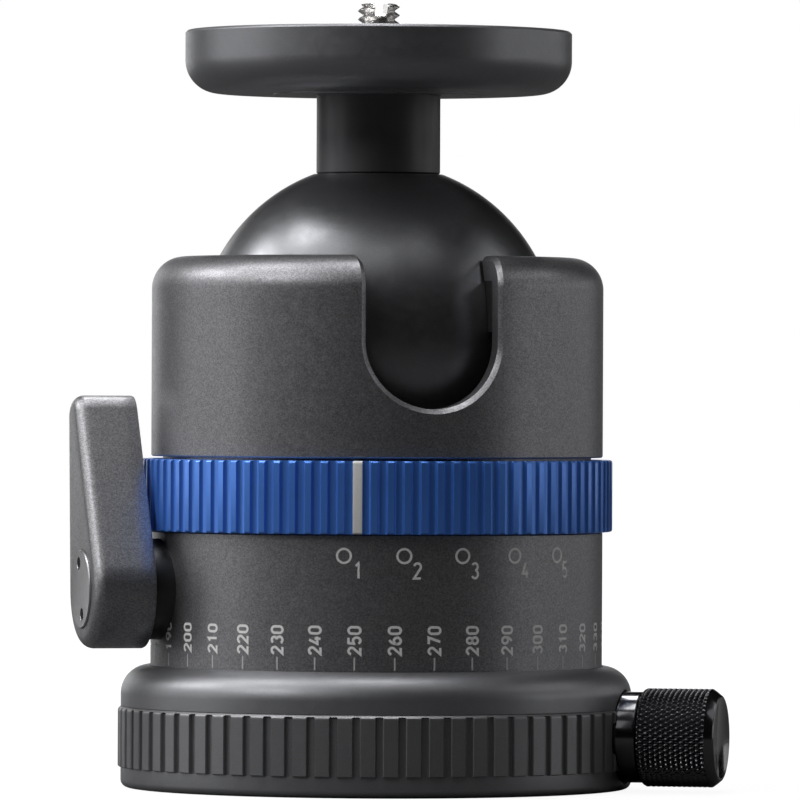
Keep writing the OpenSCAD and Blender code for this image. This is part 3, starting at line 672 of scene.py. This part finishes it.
SPANNER_R, SPANNER_OUT = 0.95, 3.9
spanner_hole = revolve(
    [(0, CAP_TOP - 2.3), (SPANNER_R, CAP_TOP - 2.3), (SPANNER_R, CAP_TOP - 0.1),
     (SPANNER_R + 0.1, CAP_TOP + 0.05),
     (SPANNER_R + 0.1, CAP_TOP + 1), (0, CAP_TOP + 1)], 40)
piece("lever_end_cap", placed(revolve(
    [(0, CAP_SEAT), (CAP_R - 0.02, CAP_SEAT), (CAP_R - 0.02, CAP_TOP - 0.16), (CAP_R - 0.18, CAP_TOP),
     (CAP_R - 0.45, CAP_TOP - 0.02), (0, CAP_TOP - 0.05)], 180), LEVER),
    M_CAP, "clamp_lever", ["lever_cap"],
    [placed(spanner_hole, LEVER @ Matrix.Translation((x, 0, 0))) for x in (-SPANNER_OUT, SPANNER_OUT)])

SHAFT_HOLE = 4.05
piece("lever_bush_ring", placed(revolve(
    [(SHAFT_HOLE, CORE_R), (BUSH_BORE, CORE_R), (BUSH_BORE, BUSH_SEAT), (BUSH_R, BUSH_SEAT)]
    + arc(BUSH_R - 0.25, BUSH_END - 0.25, 0.25, 0, 90, 4) + [(SHAFT_HOLE, BUSH_END)], 144), SHAFT),
    M_BUSH, "housing", ["lever_bush"])

# ---- Ball, stem and plate ----

HOLE_R = 6.5
hole_depth = math.sqrt(BALL_R ** 2 - HOLE_R ** 2)
low_angle = math.degrees(math.atan2(-hole_depth, HOLE_R))
high_angle = math.degrees(math.atan2(FLAT_Z - BALL_Z, FLAT_R))
SLEEVE_Z = span("stem_sleeve")[0].z
BOLT_HOLE = 3.05
piece("ball_sphere", revolve(
    [(HOLE_R, SLEEVE_Z - 6)] + arc(0, BALL_Z, BALL_R, low_angle, high_angle, 96)
    + [(8, FLAT_Z), (8, SLEEVE_Z), (BOLT_HOLE, SLEEVE_Z), (BOLT_HOLE, SLEEVE_Z - 6)], 240),
    M_BALL, "ball", ["ball"])

BOSS_Z = PLATE[0].z
PIN_R, BOLT_R = 6, 3
piece("plate_stem", revolve(
    [(BOLT_R, SLEEVE_Z + 0.05), (PIN_R, SLEEVE_Z + 0.05), (PIN_R, FLAT_Z - 1), (PIN_R, FLAT_Z + 0.1),
     (STEM_R - 0.15, FLAT_Z + 0.1), (STEM_R, FLAT_Z + 0.25)]
    + line((STEM_R, FLAT_Z + 1), (STEM_R, BOSS_Z), 6)
    + [(STEM_R, BOSS_Z), (0, BOSS_Z), (0, BOSS_Z - 12), (BOLT_R, BOSS_Z - 12)], 192),
    M_STEM, "platform", ["stem"])

PLATE_R, PLATE_Z, PLATE_TOP = PLATE[1].x, BOSS_Z + 0.3, PLATE[1].z
PLATE_ROUND = 4.9
PLATE_EDGE = [(0, 3), (0, 0.4), (0.06, 0.3), (0.3, 0.06), (0.4, 0)]
PLATE_BOSS = 15.7
PAD_R, PAD_IR, PAD_SEAT = 26.5, 8.7, PLATE_TOP - 1
SCREW_HOLE = 4.7
piece("round_plate", revolve(
    [(0, BOSS_Z), (PLATE_BOSS - 0.1, BOSS_Z), (PLATE_BOSS, BOSS_Z + 0.1), (PLATE_BOSS, PLATE_Z)]
    + arc(PLATE_R - PLATE_ROUND, PLATE_Z + PLATE_ROUND, PLATE_ROUND, -90, 0, 24)
    + [(PLATE_R - inwards, PLATE_TOP - down) for inwards, down in PLATE_EDGE]
    + [(PAD_R, PLATE_TOP), (PAD_R, PAD_SEAT), (PAD_IR, PAD_SEAT), (PAD_IR, PLATE_TOP),
       (SCREW_HOLE + 0.2, PLATE_TOP),
       (SCREW_HOLE, PLATE_TOP - 0.2), (SCREW_HOLE, PLATE_Z + 2), (0, PLATE_Z + 2)], 300),
    M_PLATE, "platform", ["camera_plate"])

RIB_PITCH, RIB_TOP, RIB_LOW = 1.05, PLATE_TOP - 0.02, PLATE_TOP - 0.25
pad = [(PAD_IR + 0.05, PAD_SEAT), (PAD_R - 0.05, PAD_SEAT), (PAD_R - 0.05, PLATE_TOP - 0.08)]
rib = PAD_R - 0.1
while rib > 9.9:
    pad += [(rib, RIB_TOP), (rib - 0.55, RIB_TOP), (rib - 0.65, RIB_LOW), (rib - 0.95, RIB_LOW)]
    rib -= RIB_PITCH
pad += [(rib, RIB_TOP), (PAD_IR + 0.05, RIB_TOP)]
piece("rubber_pad", revolve(pad, 240), M_RUBBER, "platform", ["plate_pad"])
# The camera screw has a true helical thread
SCREW_R, SCREW_TOP, PITCH = 3.12, SCREW[1].z, 1.27
ROOT = SCREW_R - 0.74
THREAD_START = PLATE_TOP - 0.66
CREST_Z, CREST_ANGLE = SCREW_TOP - 1.07, 165.5
HEAD_R = 4.65
SLOT_HALF, SLOT_DEPTH, SLOT_ANGLE = 0.95, 1.6, 83


def thread_radius(r, z, angle):
    """The screw's radius, on a helix that is level with a crest at one height and angle."""
    if z < THREAD_START - 0.03 or r < ROOT:
        return r
    crest = CREST_Z + PITCH * (angle - CREST_ANGLE) / 360
    off_crest = abs(((z - crest) / PITCH + 0.5) % 1 - 0.5) * 2
    return min(r, SCREW_R - (SCREW_R - ROOT) * min(1.0, max(0.0, (off_crest - 0.1) / 0.78)))


steps_z = [THREAD_START + k * PITCH / 14 for k in range(60)]
piece("thread_screw", revolve(
    [(0, PLATE_Z + 2), (HEAD_R, PLATE_Z + 2), (HEAD_R, PLATE_TOP - 0.85), (HEAD_R - 0.15, PLATE_TOP - 0.7)]
    + [(SCREW_R, z) for z in steps_z if z < SCREW_TOP - 0.35]
    + [(SCREW_R - 0.25, SCREW_TOP - 0.3), (ROOT + 0.3, SCREW_TOP - 0.1), (ROOT - 0.1, SCREW_TOP),
       (0, SCREW_TOP)],
    96, thread_radius),
    M_STEEL, "platform", ["camera_screw"],
    [placed(box((-8, -SLOT_HALF, SCREW_TOP - SLOT_DEPTH), (8, SLOT_HALF, SCREW_TOP + 1)),
            rotation(SLOT_ANGLE, "Z"))],
    sharp=35)

# ---- Engraved scales on the turntable housing ----


def digit_lines(w):
    """Centre lines of the ten digits in a box w wide and 1 high; True marks a closed line."""
    h = w / 2
    six = [(arc(h, 0.29, h, 0, 350, 20, 0.29), True),
           (arc(w * 1.02, 0.29, w * 1.02, 180, 112, 8, 0.72), False)]
    return {
        "0": [(arc(h, 1 - h, h, 0, 180, 8) + arc(h, h, h, 180, 360, 8), True)],
        "1": [([(w * 0.15, 0.8), (w * 0.55, 1), (w * 0.55, 0)], False)],
        "2": [(arc(h, 1 - h, h, 170, -28, 10) + [(0, 0), (w, 0)], False)],
        "3": [(arc(h, 0.76, h * 0.92, 150, -80, 10, 0.24), False),
              (arc(h, 0.27, h, 80, -155, 12, 0.27), False)],
        "4": [([(w * 0.6, 1), (0, 0.28), (w * 1.1, 0.28)], False),
              ([(w * 0.78, 0.52), (w * 0.78, 0)], False)],
        "5": [([(w * 0.95, 1), (w * 0.12, 1), (w * 0.05, 0.54)] +
               arc(h, 0.31, h, 125, -150, 12, 0.31), False)],
        "6": six,
        "7": [([(0, 1), (w, 1), (w * 0.35, 0)], False)],
        "8": [(arc(h, 0.75, h * 0.86, 0, 350, 18, 0.25), True), (arc(h, 0.26, h, 0, 350, 18, 0.26), True)],
        "9": [([(w - x, 1 - y) for x, y in path], closed) for path, closed in six],
    }


def ribbon(points, width, closed, place, thick=0.05, proud=0.02):
    """A thin closed strip along a line. place turns (u, v, height) into a point."""
    n = len(points)
    left, right = [], []
    for i, (x, y) in enumerate(points):
        a = points[(i - 1) % n] if closed or i else points[0]
        b = points[(i + 1) % n] if closed or i < n - 1 else points[-1]
        before, after = Vector((x - a[0], y - a[1])), Vector((b[0] - x, b[1] - y))
        before = (before if before.length else after).normalized()
        after = (after if after.length else before).normalized()
        normal = Vector((-(before.y + after.y), before.x + after.x))
        normal = normal.normalized() if normal.length > 1e-6 else Vector((-before.y, before.x))
        spread = width / 2 / max(0.45, normal.dot(Vector((-before.y, before.x))))
        left.append((x + normal.x * spread, y + normal.y * spread))
        right.append((x - normal.x * spread, y - normal.y * spread))
    rings = [[place(*l, proud), place(*r, proud), place(*r, -thick), place(*l, -thick)]
             for l, r in zip(left, right)]
    return loft(rings, closed)


def on_drum(angle, z, turned=False, radius=HOUSE_R):
    """Maps a flat mark onto the housing, centred at a polar angle; turned sets it reading upwards."""
    def place(u, v, height):
        if turned:
            u, v = -v, u
        a = math.radians(angle) + u / radius
        r = radius + height
        return (r * math.cos(a), r * math.sin(a), z + v)
    return place


def text(string, height, width, advance, stroke, place, centre):
    """Strips for a row of digits. centre is the height on the row that falls on the placing angle."""
    lines = digit_lines(width / height)
    return [ribbon([(x * height + k * advance, y * height - centre) for x, y in points], stroke, closed,
                   place)
            for k, digit in enumerate(string) for points, closed in lines[digit]]


NUMBER_HIGH, NUMBER_WIDE, NUMBER_Z = 1.74, 0.94, 20.87
numbers, ticks = [], []
for value in range(0, 360, 10):
    upright = on_drum(value, NUMBER_Z, True)
    numbers += text(str(value), NUMBER_HIGH, NUMBER_WIDE, 1.5, 0.38, upright, NUMBER_HIGH / 2)
    ticks.append(ribbon([(0, 18.5), (0, 20.35)], 0.24, False, on_drum(value, 0)))
piece("degree_numbers", joined(numbers), M_WHITE, "housing", sharp=30)
piece("degree_ticks", joined(ticks), M_TICK, "housing", sharp=30)

MARK_ANGLE, MARK_STEP, MARK_Z, MARK_R, MARK_STROKE = 247.3, 15, 35.2, 1.02, 0.34
marks = []
for k in range(5):
    angle = MARK_ANGLE + MARK_STEP * k
    half = 0.35 if k == 0 else 0.5
    below = on_drum(angle + 3.3 - math.degrees(half / HOUSE_R), MARK_Z - 3.25)
    marks.append(ribbon(arc(0, 0, MARK_R, 0, 350, 35), MARK_STROKE, True, on_drum(angle, MARK_Z)))
    marks += text(str(k + 1), 2.2, 1.0, 0, MARK_STROKE, below, 0)
piece("friction_marks", joined(marks), M_WHITE, "housing", sharp=30)
INDEX_ANGLE = 104


def on_shoulder(u, v, height):
    """Maps a flat mark onto the base's round shoulder, v millimetres down from its inner edge."""
    down, turn_by = v / SHOULDER, math.radians(INDEX_ANGLE) + u / BASE_R
    r = BORE_R + (SHOULDER + height) * math.sin(down)
    z = BASE_TOP - SHOULDER + (SHOULDER + height) * math.cos(down)
    return (r * math.cos(turn_by), r * math.sin(turn_by), z)


index_line = [(0, 0.6 + 0.3 * k) for k in range(9)]
piece("pan_index_mark", ribbon(index_line, 0.35, False, on_shoulder), M_WHITE, "base", sharp=30)

# ---- Nodes that keep their CAD shape ----

KEPT = {
    "tripod_thread_insert": M_STEEL, "pan_bearing": M_LINER, "retaining_plate": M_STEEL,
    "retaining_screws": M_DARK_STEEL,
    "pan_brake_shoe": M_BRONZE, "pan_spindle": M_STEEL, "ball_seat_ring": M_BUSH, "shaft_end_bush": M_BRONZE,
    "wedge_guide": M_STEEL, "guide_screws": M_DARK_STEEL, "dowel_pins": M_STEEL,
    "nut_retaining_ring": M_DARK_STEEL,
    "drive_keys": M_STEEL, "adjusting_nut": M_DARK_STEEL, "preload_carrier": M_BASE, "lever_shaft": M_STEEL,
    "shaft_clip": M_DARK_STEEL, "wedge_block": M_BRONZE, "clamp_plunger": M_STEEL, "friction_cup": M_STEEL,
    "cup_liner": M_LINER, "stem_sleeve": M_BRONZE, "stem_bolt": M_DARK_STEEL}
for name, material in KEPT.items():
    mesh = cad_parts[name].data
    mesh.materials.clear()
    mesh.materials.append(material)

# ---- Floor, light and camera ----

MIDDLE_Z = 0.06
VIEW_ANGLE = math.radians(14.6)
RIGHT = Vector((math.cos(VIEW_ANGLE), -math.sin(VIEW_ANGLE), 0))
TOWARDS = Vector((-math.sin(VIEW_ANGLE), -math.cos(VIEW_ANGLE), 0))
UP = Vector((0, 0, 1))


def aim(obj, place, target, roll=0.0):
    """Points an object's -Z axis from place at target."""
    back = (place - target).normalized()
    side = UP.cross(back).normalized()
    over = back.cross(side)
    c, s = math.cos(roll), math.sin(roll)
    axes = Matrix((side * c + over * s, over * c - side * s, back)).transposed()
    obj.matrix_world = Matrix.Translation(place) @ axes.to_4x4()


LIGHT_AWAY, LIGHT_SIZE = 1.1, 0.36


def softbox(name, azimuth, elevation, power):
    """A square area light on the object's middle. Azimuth is from the camera's side, negative to the left."""
    a, e = math.radians(azimuth), math.radians(elevation)
    towards = (RIGHT * math.sin(a) + TOWARDS * math.cos(a)) * math.cos(e) + UP * math.sin(e)
    data = bpy.data.lights.new(name, "AREA")
    data.size, data.energy = LIGHT_SIZE, power
    obj = bpy.data.objects.new(name, data)
    scene.collection.objects.link(obj)
    aim(obj, UP * MIDDLE_Z + towards * LIGHT_AWAY, UP * MIDDLE_Z)


LIGHTS = ((-105, 32, 3.75), (180, 58, 3.6), (0, 86, 3.09), (-90, 58, 3.04), (-55, 32, 2.31), (-45, 58, 0.8),
          (-80, 32, 0.71), (-155, 6, 0.6), (-80, 6, 0.58), (-105, 6, 0.56), (105, 32, 0.45), (-30, 32, 0.44),
          (80, 6, 0.44), (0, 58, 0.4), (80, 32, 0.3), (105, 6, 0.33), (45, 58, 0.3), (130, 6, 0.3))
for number, (azimuth, elevation, power) in enumerate(LIGHTS):
    softbox(f"softbox_{number}", azimuth, elevation, power)

CAMERA_AWAY, CAMERA_ROLL, LENS = 1.31, math.radians(0.25), 394.2
AIM_RIGHT, AIM_Z = 0.0034, 0.0579
camera_data = bpy.data.cameras.new("camera")
camera_data.sensor_width, camera_data.lens = 36, LENS
camera_data.clip_start, camera_data.clip_end = 0.05, 50
camera = bpy.data.objects.new("camera", camera_data)
scene.collection.objects.link(camera)
aim(camera, TOWARDS * CAMERA_AWAY + UP * MIDDLE_Z, RIGHT * AIM_RIGHT + UP * AIM_Z, CAMERA_ROLL)
scene.camera = camera
floor_mesh = bpy.data.meshes.new("floor")
floor_mesh.from_pydata([(-4, -4, 0), (4, -4, 0), (4, 4, 0), (-4, 4, 0)], [], [(0, 1, 2, 3)])
floor = bpy.data.objects.new("floor", floor_mesh)
scene.collection.objects.link(floor)


def floor_material():
    material = bpy.data.materials.new("pale_floor")
    material.use_nodes = True
    tree = material.node_tree
    nodes, links = tree.nodes, tree.links
    shader = nodes["Principled BSDF"]
    shader.inputs["Base Color"].default_value = (0.1, 0.1, 0.1, 1)
    shader.inputs["Roughness"].default_value = 0.9
    shader.inputs["Specular IOR Level"].default_value = 0.1
    glow = nodes.new("ShaderNodeEmission")
    both = nodes.new("ShaderNodeAddShader")
    coords = nodes.new("ShaderNodeTexCoord")
    length = nodes.new("ShaderNodeVectorMath")
    length.operation = "LENGTH"
    fade = nodes.new("ShaderNodeMapRange")
    for key, value in (("From Min", 0.1), ("From Max", 0.5), ("To Min", 0.92), ("To Max", 1.0)):
        fade.inputs[key].default_value = value
    path = nodes.new("ShaderNodeLightPath")
    seen = nodes.new("ShaderNodeMath")
    seen.operation = "MULTIPLY"
    links.new(coords.outputs["Object"], length.inputs[0])
    links.new(length.outputs["Value"], fade.inputs["Value"])
    links.new(fade.outputs["Result"], seen.inputs[0])
    links.new(path.outputs["Is Camera Ray"], seen.inputs[1])
    links.new(seen.outputs["Value"], glow.inputs["Strength"])
    links.new(shader.outputs["BSDF"], both.inputs[0])
    links.new(glow.outputs["Emission"], both.inputs[1])
    links.new(both.outputs["Shader"], nodes["Material Output"].inputs["Surface"])
    return material


floor_mesh.materials.append(floor_material())


ROOM_LEVEL, BACKDROP_LEVEL = 0.0, 0.9


def world_light():
    """A dim room with a narrow white backdrop behind the object; the camera sees it all white."""
    world = bpy.data.worlds.new("studio")
    scene.world = world
    world.use_nodes = True
    nodes, links = world.node_tree.nodes, world.node_tree.links
    background = nodes["Background"]
    coords = nodes.new("ShaderNodeTexCoord")
    facing = nodes.new("ShaderNodeVectorMath")
    facing.operation = "DOT_PRODUCT"
    facing.inputs[1].default_value = -TOWARDS
    ramp = nodes.new("ShaderNodeMapRange")
    levels = (("From Min", 0.95), ("From Max", 0.985), ("To Min", ROOM_LEVEL), ("To Max", BACKDROP_LEVEL))
    for key, value in levels:
        ramp.inputs[key].default_value = value
    path = nodes.new("ShaderNodeLightPath")
    seen = nodes.new("ShaderNodeMath")
    seen.operation = "MAXIMUM"
    links.new(coords.outputs["Generated"], facing.inputs[0])
    links.new(facing.outputs["Value"], ramp.inputs["Value"])
    links.new(ramp.outputs["Result"], seen.inputs[0])
    links.new(path.outputs["Is Camera Ray"], seen.inputs[1])
    links.new(seen.outputs["Value"], background.inputs["Strength"])
    background.inputs["Color"].default_value = (1, 1, 1, 1)


world_light()
scene.view_settings.view_transform = "Standard"
